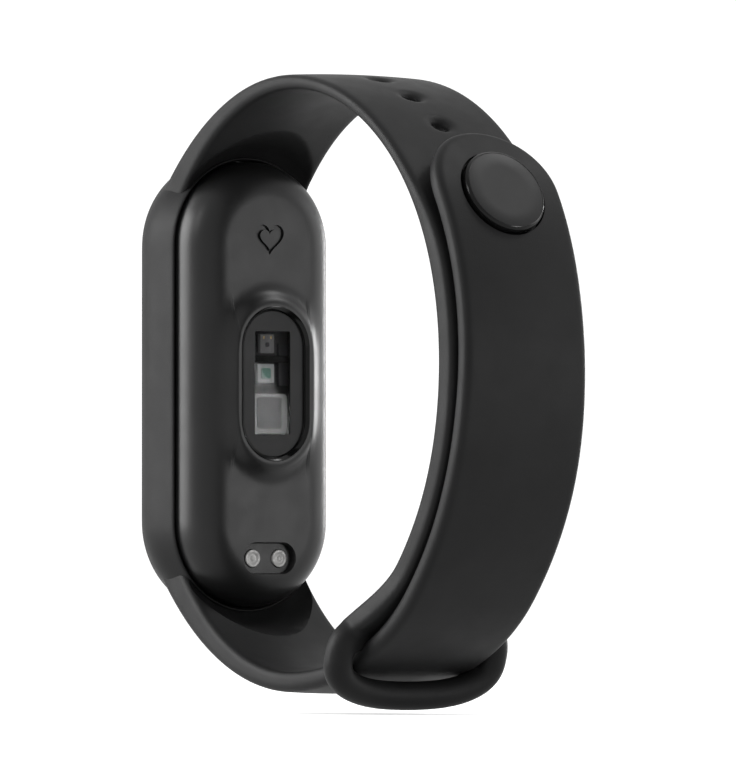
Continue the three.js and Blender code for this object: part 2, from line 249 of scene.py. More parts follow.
def mould(obj, voxel, softness):
    """Fuses overlapping bodies into one skin and softens its edges, as a moulding's are."""
    fuse = obj.modifiers.new("fuse", "REMESH")
    fuse.mode = "VOXEL"
    fuse.voxel_size = voxel
    soften = obj.modifiers.new("soften", "SMOOTH")
    soften.factor = 0.5
    soften.iterations = softness
    apply_modifiers(obj)


def subdivide(obj):
    obj.modifiers.new("smooth", "SUBSURF").levels = 1
    apply_modifiers(obj)


def finish_piece(obj, material, body=None, replaces=(), sharp=None):
    """Turns a shape in millimetres into a shown piece that rides on a body.

    Edges that bend by more than sharp degrees stay sharp. Without it, all of them are smooth.
    """
    obj.data.transform(Matrix.Scale(MM, 4))
    obj.data.materials.clear()
    obj.data.materials.append(material)
    obj.data.shade_smooth()
    if sharp is not None:
        obj.data.set_sharp_from_angle(angle=math.radians(sharp))
    if body:
        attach(obj, body)
    if replaces:
        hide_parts(*replaces)


# ---- materials -------------------------------------------------------------------------------

class Nodes:
    """A short way to write a material's node tree."""

    def __init__(self, name):
        self.material = bpy.data.materials.new(name)
        self.material.use_nodes = True
        self.tree = self.material.node_tree
        self.shader = self.tree.nodes["Principled BSDF"]
        self.place = self.add("ShaderNodeTexCoord").outputs["Object"]

    def add(self, kind, **settings):
        node = self.tree.nodes.new(kind)
        for key, value in settings.items():
            setattr(node, key, value)
        return node

    def link(self, output, target):
        self.tree.links.new(output, target)

    def noise(self, size, detail=3.0, stretch=(1, 1, 1)):
        """Noise whose features are about size millimetres across."""
        mapping = self.add("ShaderNodeMapping")
        mapping.inputs["Scale"].default_value = stretch
        self.link(self.place, mapping.inputs["Vector"])
        node = self.add("ShaderNodeTexNoise")
        node.inputs["Scale"].default_value = 1 / (size * MM)
        node.inputs["Detail"].default_value = detail
        self.link(mapping.outputs["Vector"], node.inputs["Vector"])
        return node.outputs["Fac"]

    def spread(self, factor, low, high, start=0.35, stop=0.65):
        node = self.add("ShaderNodeMapRange")
        for name, value in (("From Min", start), ("From Max", stop), ("To Min", low), ("To Max", high)):
            node.inputs[name].default_value = value
        self.link(factor, node.inputs["Value"])
        return node.outputs["Result"]

    def blend(self, factor, low, high):
        node = self.add("ShaderNodeMix", data_type="RGBA")
        node.inputs["A"].default_value = (*low, 1)
        node.inputs["B"].default_value = (*high, 1)
        self.link(factor, node.inputs["Factor"])
        return node.outputs["Result"]

    def bump(self, height, depth):
        """Relief whose high points stand about depth millimetres over its low ones."""
        node = self.add("ShaderNodeBump")
        node.inputs["Strength"].default_value = 1
        node.inputs["Distance"].default_value = depth * MM
        self.link(height, node.inputs["Height"])
        return node.outputs["Normal"]

    def set(self, **sockets):
        for name, value in sockets.items():
            self.shader.inputs[name.replace("_", " ")].default_value = value

    def drive(self, name, output):
        self.link(output, self.shader.inputs[name])


def moulded_black(name, tone, roughness, grain, specular=0.4):
    """Black plastic or rubber with a fine moulded grain and faint handling marks."""
    nodes = Nodes(name)
    nodes.set(Specular_IOR_Level=specular)
    mottle = nodes.noise(7, detail=5)
    lighter = tuple(1.25 * channel for channel in tone)
    nodes.drive("Base Color", nodes.blend(nodes.spread(mottle, 0, 1), tone, lighter))
    haze = nodes.spread(nodes.noise(2.5, detail=4), roughness - 0.02, roughness + 0.025)
    nodes.drive("Roughness", haze)
    fine = nodes.noise(0.12, detail=2)
    nodes.drive("Normal", nodes.bump(fine, grain))
    return nodes.material


def metal(name, tone, roughness, scratch=(1, 1, 1)):
    """Metal with faint stains, and scratches that run where scratch stretches them."""
    nodes = Nodes(name)
    nodes.set(Metallic=1.0)
    stain = nodes.noise(0.6, detail=4)
    darker = tuple(0.72 * channel for channel in tone)
    nodes.drive("Base Color", nodes.blend(nodes.spread(stain, 0, 1), darker, tone))
    nodes.drive("Roughness", nodes.spread(nodes.noise(0.3, 4, scratch), roughness - 0.08, roughness + 0.1))
    nodes.drive("Normal", nodes.bump(nodes.noise(0.08, 3, scratch), 0.01))
    return nodes.material


def gloss_black(name, tone=(0.004, 0.004, 0.005), roughness=0.04):
    """Glass with black print behind it: a polished skin with faint smears."""
    nodes = Nodes(name)
    nodes.set(Specular_IOR_Level=0.5, Coat_Weight=0.3, Coat_Roughness=0.03)
    smear = nodes.noise(4, 5, (1, 1, 0.4))
    nodes.drive("Base Color", nodes.blend(nodes.spread(smear, 0, 1), tone, tuple(1.5 * c for c in tone)))
    nodes.drive("Roughness", nodes.spread(smear, roughness, roughness + 0.05))
    return nodes.material


def smoked_window(name):
    """A clear pane with a grey tint and faint smears."""
    nodes = Nodes(name)
    nodes.set(Transmission_Weight=1.0, IOR=1.1)
    smear = nodes.noise(2, 4)
    tint = nodes.blend(nodes.spread(smear, 0, 1), (0.62, 0.62, 0.63), (0.66, 0.66, 0.67))
    nodes.drive("Base Color", tint)
    nodes.drive("Roughness", nodes.spread(smear, 0.0, 0.006))
    return nodes.material


def circuit_board(name, tone):
    """Solder mask over fine copper tracks, with a woven laminate showing through."""
    nodes = Nodes(name)
    tracks = nodes.add("ShaderNodeTexBrick")
    tracks.inputs["Scale"].default_value = 420
    tracks.inputs["Mortar Size"].default_value = 0.03
    tracks.inputs["Color1"].default_value = (*tone, 1)
    tracks.inputs["Color2"].default_value = (*[0.8 * c for c in tone], 1)
    tracks.inputs["Mortar"].default_value = (*[2.2 * c for c in tone], 1)
    mapping = nodes.add("ShaderNodeMapping")
    mapping.inputs["Rotation"].default_value = (0, math.pi / 2, 0)
    nodes.link(nodes.place, mapping.inputs["Vector"])
    nodes.link(mapping.outputs["Vector"], tracks.inputs["Vector"])
    nodes.drive("Base Color", tracks.outputs["Color"])
    nodes.drive("Roughness", nodes.spread(nodes.noise(0.5), 0.35, 0.5))
    nodes.drive("Normal", nodes.bump(tracks.outputs["Fac"], 0.03))
    return nodes.material


def tinted_film(name, tone, roughness=0.35):
    """Film, foil or cast resin whose tone varies in fine streaks."""
    nodes = Nodes(name)
    streaks = nodes.noise(0.5, 4, (1, 1, 0.15))
    nodes.drive("Base Color", nodes.blend(nodes.spread(streaks, 0, 1), tone, tuple(1.4 * c for c in tone)))
    nodes.drive("Roughness", nodes.spread(streaks, roughness, roughness + 0.12))
    nodes.drive("Normal", nodes.bump(streaks, 0.02))
    return nodes.material


def pale_floor(name):
    """A matt floor that glows a little, so that it runs into the white background."""
    nodes = Nodes(name)
    nodes.drive("Base Color", nodes.blend(nodes.noise(400), (0.49, 0.49, 0.49), (0.51, 0.51, 0.51)))
    nodes.set(Roughness=0.9, Specular_IOR_Level=0.1, Emission_Color=(1, 1, 1, 1), Emission_Strength=0.55)
    return nodes.material


ELASTOMER = moulded_black("soft_elastomer", (0.005, 0.005, 0.0051), 0.5, grain=0.012, specular=0.09)
CAP = moulded_black("satin_cap", (0.005, 0.005, 0.0051), 0.4, grain=0.004, specular=0.12)
POLISHED = moulded_black("polished_cap_edge", (0.002, 0.002, 0.002), 0.15, grain=0.001, specular=0.12)
HOUSING = moulded_black("housing_plastic", (0.005, 0.005, 0.0051), 0.38, grain=0.005, specular=0.2)
INNER_PLASTIC = moulded_black("inner_plastic", (0.02, 0.02, 0.021), 0.6, grain=0.01)
FOAM = moulded_black("adhesive_foam", (0.025, 0.025, 0.025), 0.85, grain=0.03)
CHIP = moulded_black("chip_epoxy", (0.018, 0.018, 0.02), 0.5, grain=0.02)
PRINT = moulded_black("window_print", (0.006, 0.006, 0.0062), 0.4, grain=0.002, specular=0.11)
GLASS = gloss_black("front_glass")
DISPLAY = gloss_black("display_panel", (0.01, 0.01, 0.014), 0.12)
SMOKED = smoked_window("smoked_window")
STEEL = metal("steel", (0.56, 0.56, 0.55), 0.32)
PLATING = metal("contact_plating", (0.17, 0.168, 0.165), 0.42)
FOIL = metal("battery_foil", (0.62, 0.63, 0.64), 0.3, (1, 1, 0.2))
BOARD = circuit_board("main_circuit_board", (0.01, 0.05, 0.024))
SENSOR_BOARD = circuit_board("sensor_circuit_board", (0.007, 0.007, 0.008))
FLEX = tinted_film("flex_circuit", (0.24, 0.1, 0.02))
LED_LENS = tinted_film("led_lens", (0.1, 0.22, 0.17), 0.3)
LED_CASE = tinted_film("led_case", (0.38, 0.39, 0.38), 0.5)
DETECTOR_CASE = tinted_film("detector_case", (0.3, 0.3, 0.3), 0.5)
EMITTER = tinted_film("infrared_case", (0.12, 0.12, 0.12), 0.5)
BAFFLE = moulded_black("baffle_black", (0.003, 0.003, 0.003), 0.7, grain=0.01, specular=0.1)
SILICON = tinted_film("photodiode_silicon", (0.02, 0.02, 0.022), 0.4)
GOLD = metal("gold_pads", (0.55, 0.42, 0.2), 0.3)


# ---- the strap -------------------------------------------------------------------------------

def arc(centre, radius, start, stop, count=5):
    """Points on a quarter or other arc, its angles in degrees."""
    points = []
    for i in range(count + 1):
        a = math.radians(start + (stop - start) * i / count)
        points.append((centre[0] + radius * math.cos(a), centre[1] + radius * math.sin(a)))
    return points


def half_section(half, thickness, edge=0.8):
    """Half of an arm's section as (across, outward), from the inner middle to the outer middle."""
    brink = thickness - CROWN  # where the crowned outer face meets the rounded edge
    flat = half - edge
    points = [(half * i / 6, 0) for i in range(6)]
    points += arc((half - INNER_EDGE, INNER_EDGE), INNER_EDGE, -90, 0)
    points += arc((flat, brink - edge), edge, 0, 84)
    for i in range(7, -1, -1):
        across = flat * i / 8
        points.append((across, thickness - CROWN * (across / flat) ** 2))
    return points


def whole_section(half, thickness, edge):
    """The closed section of an arm, the same on both sides."""
    right = half_section(half, thickness, edge)
    left = [(-across, outward) for across, outward in reversed(right[1:-1])]
    return right + left


def arm(start, stop, height_at, half_at, thickness, edge=0.8):
    """A length of strap, swept along the loop from one station to another."""
    step = 1.5
    count = math.ceil(abs(stop - start) / step)
    rings = []
    for i in range(count + 1):
        degrees = start + (stop - start) * i / count
        section = whole_section(half_at(degrees), thickness(degrees), edge)
        matrix = frame_at(degrees)
        height = height_at(degrees)
        rings.append([matrix @ Vector((height + outward, across, 0)) for across, outward in section])
    return loft(rings)


def size_holes():
    """Cutters for the size holes, which have soft mouths."""
    cutters = []
    for i in range(-HOLE_COUNT_BELOW, HOLE_COUNT_ABOVE + 1):
        station = BUTTON_STATION + i * HOLE_SPACING
        top = hole_arm_thickness(station)
        height = hole_arm_height(station)
        throat = 1.15 if i == 0 else 0.85  # the stud stretches the hole that it is in
        profile = [(-1, 1.6), (-0.05, throat + 0.3), (0.15, throat), (top - 0.55, throat)]
        profile += [(top - 0.3, throat + 0.15), (top - 0.12, 1.4), (top, 1.8), (top + 0.7, 2.7)]
        raised = [(height + x, radius) for x, radius in profile]
        cutters.append(turned(raised, frame_at(station), 40))
    return merged(*cutters)


def pill(radius, end, depth, lean=0.0, arc_points=40, straight_points=16):
    """A pill outline at a depth. Lean moves its round ends deeper by up to that much."""
    outline = []
    for side in (1, -1):
        for i in range(arc_points + 1):
            a = math.pi * i / arc_points
            outline.append((side * radius * math.cos(a), side * (end + radius * math.sin(a)), math.sin(a)))
        for i in range(1, straight_points):
            outline.append((-side * radius, side * end * (1 - 2 * i / straight_points), 0))
    return [Vector((FRONT_X + depth + lean * s * s, y, z)) for y, z, s in outline]


def pod_pocket():
    """Cutter for the flared pocket round each end of the tracker, on the wrist side."""
    rings = [pill(BODY_RADIUS + 0.1, POD_END, -2), pill(BODY_RADIUS + 0.1, POD_END, LIP - 0.4)]
    ledge = ((-0.15, 0.45), (0.2, 0.9), (0.8, 1.4), (2, 1.9), (3.5, 2.3), (5.5, 2.8), (7.5, 3.2))
    for past_lip, flare in ledge:
        rings.append(pill(BODY_RADIUS + flare, POD_END, LIP + past_lip))
    return loft(rings)


def keeper_axes():
    """The keeper's own directions: up along its leaning plane, and out of that plane."""
    tilt = math.radians(KEEPER_TILT)
    upward = Vector((math.sin(tilt), 0, math.cos(tilt)))
    facing = Vector((math.cos(tilt), 0, -math.sin(tilt)))
    return upward, facing


def keeper_tube():
    """The keeper's round tube, swept round a rounded outline in its plane."""
    upward, facing = keeper_axes()
    sideways = Vector((0, 1, 0))
    width = box_mm("keeper_loop")[1].y - KEEPER_TUBE
    height = KEEPER_HALF_HEIGHT - KEEPER_TUBE
    steps, facets = 120, 24
    rings = []
    for i in range(steps):
        a = 2 * math.pi * i / steps
        c, s = math.cos(a), math.sin(a)
        power = 3.1 if s > 0 else 2.5  # the upper corners are a little squarer
        y = width * math.copysign(abs(c) ** (2 / power), c)
        v = height * math.copysign(abs(s) ** (2 / power), s)
        normal = sideways * math.copysign(abs(y / width) ** (power - 1) / width, c)
        normal += upward * math.copysign(abs(v / height) ** (power - 1) / height, s)
        normal.normalize()
        middle = KEEPER_CENTRE + sideways * y + upward * v
        ring = []
        for j in range(facets):
            b = 2 * math.pi * j / facets
            ring.append(middle + KEEPER_TUBE * (math.cos(b) * normal + math.sin(b) * facing))
        rings.append(ring)
    return loft(rings, endless=True)


def keeper_web():
    """The wall that joins the keeper's upper bar to the arm behind it."""
    upward, facing = keeper_axes()
    lower_edge = [(8.8, 0.9), (8.3, 0.7), (7.2, 1.25)]
    outline = [(-8.6, 4), (8.6, 4)] + lower_edge
    outline += [(-y, v) for y, v in reversed(lower_edge)]
    rings = []
    for side, inset in ((-1.25, 0.4), (-0.6, 0), (0.6, 0), (1.25, 0.4)):
        ring = []
        for y, v in outline:
            raised = v + inset if v < 3 else v
            ring.append(KEEPER_CENTRE + Vector((0, y, 0)) + upward * raised + facing * side)
        rings.append(ring)
    return loft(rings)


def make_hole_arm():
    """The hole arm and its keeper, moulded as one."""
    def half_at(degrees):
        return STRAP_HALF + 1.5 * smoothstep(-degrees, -NECK_START, 60)

    strip = arm(FRAME_ROOT, NECK_END, hole_arm_height, half_at, hole_arm_thickness, edge=0.6)
    band = as_object("strap_hole_arm", strip)
    carve(band, size_holes())
    carve(band, pod_pocket())
    carved = bmesh.new()
    carved.from_mesh(band.data)
    merged(carved, keeper_tube(), keeper_web()).to_mesh(band.data)
    mould(band, voxel=0.2, softness=14)
    finish_piece(band, ELASTOMER, "band", ("hole_arm", "keeper_loop"))


def tip_disc(half, thickness, centre, pitch):
    """The button arm's round end: a disc with the arm's own edges, bent round the loop."""
    section = half_section(half, thickness)
    count = 72
    rings = []
    for across, outward in section[1:-1]:
        ring = []
        for i in range(count):
            a = 2 * math.pi * i / count
            matrix = frame_at(centre + across * math.cos(a) / pitch)
            ring.append(matrix @ Vector((LIFT + outward, across * math.sin(a), 0)))
        rings.append(ring)
    return loft(rings)


def mm_per_degree(degrees, height, span=8):
    """How far a degree of the loop reaches, at a height over its inner surface."""
    near, far = (frame_at(place) @ Vector((height, 0, 0)) for place in (degrees, degrees + span))
    return (far - near).length / span


def carve_cap_seat(band):
    """The shallow seat for the stud's cap, with a soft edge, and the hole for the stud."""
    station = frame_at(BUTTON_STATION)
    low, high = box_mm("button_cap")
    cap = (high.y - low.y) / 2
    seat = LIFT + THICKNESS - 1
    wall = cap + 0.14
    profile = [(seat, wall), (seat + 0.7, wall), (seat + 0.92, cap + 0.28), (seat + 1.5, cap + 0.9)]
    carve(band, turned(profile, station, 96))
    stud_hole = 1.3
    carve(band, turned([(-1, stud_hole), (seat + 0.5, stud_hole)], station, 32))


def bend_at_hinge(band):
    """Bakes the arm's placement into its own mesh."""
    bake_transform(band)


def make_button_arm():
    """The arm that carries the stud, narrower towards its round tip."""
    def half_at(degrees):
        return STRAP_HALF - 0.1 - 0.35 * smoothstep(degrees, -25, 15)

    tip_half = half_at(BUTTON_STATION)
    reach = 7.8  # from the button's middle to the tip
    pitch = mm_per_degree(BUTTON_STATION, LIFT)
    centre = BUTTON_STATION + (reach - tip_half) / pitch
    strip = arm(-FRAME_ROOT, centre, button_arm_height, half_at, button_arm_thickness)
    band = as_object("strap_button_arm", merged(strip, tip_disc(tip_half, THICKNESS, centre, pitch)))
    mould(band, voxel=0.2, softness=5)
    carve(band, pod_pocket())
    carve_cap_seat(band)
    finish_piece(band, ELASTOMER, sharp=35)
    bend_at_hinge(band)
    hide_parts("button_arm_root", "button_arm", "button_arm_tip")


def make_pod_frame():
    """The ring of strap round the tracker: a convex wall with a thin lip on the wrist side."""
    outer = FRAME_RADIUS
    profile = [
        (POD_HALF_WIDTH + 0.14, 1.25, 0.2),
        (POD_HALF_WIDTH + 0.3, 1.1, 0.4),
        (outer - 0.42, 1.45, 0.7),
        (outer - 0.14, 2.2, 0.9),
        (outer, 3.2, 0.8),
        (outer - 0.02, 4.2, 0.4),
        (outer - 0.14, 5.2, 0.2),
        (outer - 0.3, 6.2, 0),
        (BODY_RADIUS + 0.56, LIP - 0.1, 0),
        (BODY_RADIUS + 0.44, LIP + 0.14, 0),
        (BODY_RADIUS + 0.28, LIP + 0.14, 0),
        (BODY_RADIUS + 0.18, LIP - 0.1, 0),
        (BODY_RADIUS + 0.14, LIP - 0.5, 0),
        (BODY_RADIUS + 0.12, 5.4, 0),
        (BODY_RADIUS + 0.13, 4.9, 0),
        (POD_HALF_WIDTH + 0.12, 4.8, 0),
        (POD_HALF_WIDTH + 0.12, 3, 0),
    ]
    rings = [pill(radius, POD_END, depth, lean) for radius, depth, lean in profile]
    ring = as_object("strap_pod_frame", loft(rings, endless=True))
    subdivide(ring)
    finish_piece(ring, ELASTOMER, "band", ("pod_frame",))


# ---- the clasp's stud ------------------------------------------------------------------------

CAP_LOW, CAP_HIGH = box_mm("button_cap")
CAP_RADIUS = (CAP_HIGH.y - CAP_LOW.y) / 2 - 0.08
CAP_INNER = CAP_RADIUS - 0.3  # where the satin face meets the polished edge
CAP_SEAT = LIFT + THICKNESS - 0.9
CAP_FACE = CAP_SEAT + 1.4


def make_cap():
    """The cap's satin face, very slightly dished."""
    station = frame_at(BUTTON_STATION)
    profile = [(CAP_SEAT, 0.2), (CAP_SEAT, CAP_INNER - 0.02), (CAP_FACE - 0.03, CAP_INNER)]
    profile += [(CAP_FACE, CAP_INNER - 0.1), (CAP_FACE - 0.02, CAP_RADIUS * 0.6), (CAP_FACE - 0.02, 0.1)]
    disc = as_object("clasp_cap", turned(profile, station, 96))
    finish_piece(disc, CAP, "button", ("button_cap",), sharp=40)


def make_cap_rim():
    """The cap's polished edge, with a rounded upper corner."""
    station = frame_at(BUTTON_STATION)
    profile = [(CAP_SEAT, CAP_INNER), (CAP_SEAT, CAP_RADIUS - 0.1), (CAP_SEAT + 0.1, CAP_RADIUS)]
    profile += [(CAP_FACE - 0.26, CAP_RADIUS), (CAP_FACE - 0.2, CAP_RADIUS - 0.03)]
    profile += [(CAP_FACE - 0.04, CAP_RADIUS - 0.19), (CAP_FACE, CAP_RADIUS - 0.26)]
    profile.append((CAP_FACE - 0.02, CAP_INNER))
    rim = as_object("clasp_cap_rim", turned(profile, station, 96, endless=True))
    finish_piece(rim, POLISHED, "button", sharp=50)


def make_stud():
    """The steel stud, whose head shows on the wrist side of the hole that it is in."""
    station = frame_at(BUTTON_STATION)
    head = [(-0.85, 0.1), (-0.85, 0.6), (-0.75, 0.95), (-0.5, 1.25), (-0.25, 1.33), (-0.15, 1.3)]
    shank = [(-0.12, 1.15), (0.1, 1.12), (CAP_SEAT - 0.4, 1.12), (CAP_SEAT - 0.15, 1.14)]
    end = [(CAP_SEAT - 0.05, 1.1), (CAP_SEAT - 0.05, 0.1)]
    pin = as_object("clasp_stud", turned(head + shank + end, station, 48))
    finish_piece(pin, STEEL, "button", ("button_post",), sharp=40)


# ---- the tracker -----------------------------------------------------------------------------

def pill_distance(y, z, end):
    """How far a point is from the middle line of a pill whose round ends sit at +-end."""
    return math.hypot(y, max(0, abs(z) - end))


def back_depth(y, z):
    """The back's depth at a point: rounded from its outline, with the sensor island on it."""
    share = min(1, max(0, pill_distance(y, z, POD_END) - BACK_FLAT) / (BODY_RADIUS - BACK_FLAT))
    rounded = LIP + 0.4 + (BACK - 0.4 - LIP) * (1 - share**2) ** 0.45
    away = pill_distance(y, z, WINDOW_END) - (WINDOW_RADIUS + 0.75)
    island = ISLAND_TOP - 0.04 - 1.6 * smoothstep(away, 0, 2.1) - 2 * max(0, away - 1.7)
    blend = 0.2  # how softly the island's foot runs into the back
    mean, gap = (rounded + island) / 2, (rounded - island) / 2
    return mean + math.hypot(gap, blend) - 0.06


def back_outlines():
    """Outlines that close in over the back, from its rounded edge to the island's rim."""
    for degrees in range(4, 90, 5):
        yield BACK_FLAT + (BODY_RADIUS - BACK_FLAT) * math.cos(math.radians(degrees)), POD_END
    steps = 18
    for i in range(1, steps + 1):
        share = 1 - (1 - i / steps) ** 1.6
        radius = BACK_FLAT + (WINDOW_RADIUS + 0.5 - BACK_FLAT) * share
        yield radius, POD_END + (WINDOW_END - POD_END) * share


def shell_rings():
    """The shell's skin from its front edge, over the back, into the window and round inside."""
    front = (
        (POD_HALF_WIDTH - 0.1, POD_END, 1.3),
        (POD_HALF_WIDTH, POD_END, 1.45),
        (POD_HALF_WIDTH, POD_END, 4.6),
        (POD_HALF_WIDTH - 0.05, POD_END, 4.7),
        (BODY_RADIUS + 0.01, POD_END, 4.72),
        (BODY_RADIUS, POD_END, 4.85),
        (BODY_RADIUS, POD_END, LIP + 0.3),
    )
    edge = WINDOW_RADIUS
    inside = (
        (edge + 0.38, WINDOW_END, ISLAND_TOP - 0.06),
        (edge + 0.36, WINDOW_END, ISLAND_TOP - 0.4),
        (edge + 0.03, WINDOW_END, ISLAND_TOP - 0.45),
        (edge + 0.03, WINDOW_END, WINDOW_DEPTH - 0.6),
        (edge - 0.6, WINDOW_END, WINDOW_DEPTH - 0.75),
        (edge - 0.62, WINDOW_END, 10.2),
        (BODY_RADIUS - 2.8, POD_END - 1, 10),
        (BODY_RADIUS - 1.5, POD_END, 8.6),
        (BODY_RADIUS - 1.3, POD_END, 6),
        (BODY_RADIUS - 1.3, POD_END, 2.2),
        (POD_HALF_WIDTH - 0.42, POD_END, 2.1),
        (POD_HALF_WIDTH - 0.4, POD_END, 1.4),
    )
    over = []
    for radius, end in back_outlines():
        outline = pill(radius, end, 0)
        over.append([point + Vector((back_depth(point.y, point.z), 0, 0)) for point in outline])
    return [pill(*ring) for ring in front] + over + [pill(*ring) for ring in inside]


def heart_outline(depth, size):
    """The usual heart curve, 32 units wide, at a size in millimetres and above the window."""
    width, middle = 32, 15
    outline = []
    for i in range(72):
        a = 2 * math.pi * i / 72
        y = 16 * math.sin(a) ** 3
        z = 13 * math.cos(a) - 5 * math.cos(2 * a) - 2 * math.cos(3 * a) - math.cos(4 * a)
        outline.append(Vector((FRONT_X + depth, y * size / width, middle + (z + 2.5) * size / width)))
    return outline


def heart_groove(size=3.6):
    """Cutter for a small engraved heart outline, a plain sign for the pulse sensor."""
    low, high = BACK - 0.35, BACK + 0.5
    return loft(
        [
            heart_outline(low, size * 0.97),
            heart_outline(high, size * 1.02),
            heart_outline(high, size * 0.62),
            heart_outline(low, size * 0.68),
        ],
        endless=True,
    )


def charging_recess():
    """Cutter for the oval recess round the two contacts."""
    half_length, radius = 1.65, 1.55
    steps = 24
    profile = ((CONTACT_FACE - 0.15, 0), (CONTACT_FACE + 0.35, 0.03), (BACK - 0.12, 0.1), (BACK + 0.6, 0.5))
    rings = []
    for depth, grow in profile:
        ring = []
        for side in (1, -1):
            for i in range(steps + 1):
                a = math.pi * i / steps
                y = side * (half_length + (radius + grow) * math.sin(a))
                z = CONTACT_Z + side * (radius + grow) * math.cos(a)
                ring.append(Vector((FRONT_X + depth, y, z)))
        rings.append(ring)
    return loft(rings)


def make_shell():
    """The tracker's shell, with the charging recess and the engraved heart."""
    shell = as_object("tracker_shell", loft(shell_rings(), endless=True))
    subdivide(shell)
    carve(shell, charging_recess())
    carve(shell, heart_groove())
    finish_piece(shell, HOUSING, "tracker", ("back_housing",), sharp=32)


def make_window_rim():
    """The polished edge that the island has round its window."""
    edge = WINDOW_RADIUS
    rings = (
        (edge + 0.4, WINDOW_END, ISLAND_TOP - 0.4),
        (edge + 0.4, WINDOW_END, ISLAND_TOP - 0.03),
        (edge + 0.36, WINDOW_END, ISLAND_TOP),
        (edge + 0.04, WINDOW_END, ISLAND_TOP - 0.24),
        (edge + 0.01, WINDOW_END, ISLAND_TOP - 0.3),
        (edge + 0.01, WINDOW_END, ISLAND_TOP - 0.44),
    )
    rim = as_object("window_rim", loft([pill(*ring) for ring in rings], endless=True))
    finish_piece(rim, POLISHED, "tracker", sharp=30)


def make_front_glass():
    """The front glass: flat in the middle and rounded over at its edge."""
    low, high = box_mm("front_glass")
    radius = high.y
    end = high.z - radius
    thickness = high.x - low.x
    rounding = 1.6
    drop = thickness - 0.15
    rings = []
    for degrees in range(0, 91, 6):
        a = math.radians(degrees)
        rings.append(pill(radius - rounding * (1 - math.sin(a)), end, drop * (1 - math.cos(a))))
    rings.append(pill(radius - 0.1, end, thickness))
    glass = as_object("tracker_front_glass", loft(rings))
    finish_piece(glass, GLASS, "tracker", ("front_glass",), sharp=60)


def rounded_rectangle(width, length, corner, depth, y=0.0, z=0.0):
    """A round-cornered outline at a depth, its width along Y and its length along Z."""
    steps = 6
    points = []
    for sy, sz, start in ((1, 1, 0), (-1, 1, 90), (-1, -1, 180), (1, -1, 270)):
        centre = (y + sy * (width / 2 - corner), z + sz * (length / 2 - corner))
        points += arc(centre, corner, start, start + 90, steps)
    return [Vector((FRONT_X + depth, across, up)) for across, up in points]


def slab(width, length, corner, low, high, y=0.0, z=0.0, edge=0.05):
    """A round-cornered block with softened edges on its upper side."""
    rings = [
        rounded_rectangle(width, length, corner, low, y, z),
        rounded_rectangle(width, length, corner, high - edge, y, z),
        rounded_rectangle(width - 0.6 * edge, length - 0.6 * edge, corner, high - 0.3 * edge, y, z),
        rounded_rectangle(width - 2 * edge, length - 2 * edge, corner, high, y, z),
    ]
    return loft(rings)


APERTURE_WIDTH, APERTURE_LENGTH, APERTURE_CORNER = 4.45, 10.8, 0.25
APERTURE_PLACE = {"y": -0.05, "z": 0.1}


def make_window_bezel():
    """The black print over the window, with a clear rectangle cut in it."""
    top = WINDOW_DEPTH
    edge = WINDOW_RADIUS - 0.02
    profile = ((0.5, top - 0.5), (edge, top - 0.5), (edge, top - 0.06), (edge - 0.06, top), (0.5, top))
    bezel = as_object("window_bezel", loft([pill(radius, WINDOW_END, depth) for radius, depth in profile]))
    carve(bezel, slab(APERTURE_WIDTH, APERTURE_LENGTH, APERTURE_CORNER, top - 2, top + 1, **APERTURE_PLACE))
    finish_piece(bezel, PRINT, "tracker", ("window_mask",), sharp=35)


def make_window_pane():
    """The smoked pane in the clear rectangle, flat on both sides."""
    width, length = APERTURE_WIDTH - 0.06, APERTURE_LENGTH - 0.06
    rings = []
    for depth in (WINDOW_DEPTH - 0.42, WINDOW_DEPTH - 0.1):
        rings.append(rounded_rectangle(width, length, APERTURE_CORNER, depth, **APERTURE_PLACE))
    pane = as_object("window_pane", loft(rings))
    finish_piece(pane, SMOKED, "tracker", ("sensor_window",), sharp=35)


def make_sensor():
    """What shows through the window: a board with two emitters, two baffles and a detector."""
    floor = box_mm("sensor_board")[1].x - FRONT_X
    board = as_object("sensor_board_face", slab(5.6, 12.2, 1.2, floor - 0.45, floor))
    finish_piece(board, SENSOR_BOARD, "tracker", ("sensor_board",), sharp=35)
    top = WINDOW_DEPTH - 0.55

    def block(name, node, width, length, y, z, low, high, material, corner=0.12):
        obj = as_object(name, slab(width, length, corner, low, high, y, z))
        finish_piece(obj, material, "tracker", (node,) if node else (), sharp=35)

    upper = floor + 0.05
    block("infrared_emitter", "infrared_led", 1.75, 1.95, -0.2, 4.2, upper, upper + 0.5, EMITTER)
    block("infrared_die", None, 0.5, 0.5, -0.2, 4.1, upper + 0.5, upper + 0.56, SILICON)
    for i, y in enumerate((-0.65, 0.25)):
        block(f"infrared_pad_{i}", None, 0.22, 0.3, y, 4.85, upper + 0.5, upper + 0.54, GOLD, 0.05)
    block("green_emitter", "green_led", 2.05, 1.95, -0.35, 1.1, upper, upper + 0.5, LED_CASE)
    block("green_die", None, 1.2, 1.1, -0.4, 1.1, upper + 0.5, upper + 0.6, LED_LENS, 0.2)
    block("detector", "photodiode", 4.3, 4.1, 0.25, -3.1, upper, upper + 0.4, DETECTOR_CASE, 0.5)
    block("detector_face", None, 3.1, 3.3, 0.1, -3.05, upper + 0.4, upper + 0.46, SILICON, 0.3)
    block("emitter_baffle", "light_baffle", 5, 0.75, 0, 2.6, upper, top - 0.1, BAFFLE, 0.08)
    block("detector_baffle", None, 5, 0.75, 0, -0.55, upper, top - 0.1, BAFFLE, 0.08)
    block("side_chip", None, 1.2, 4.6, 2.0, 2.0, upper, upper + 0.3, CHIP, 0.1)


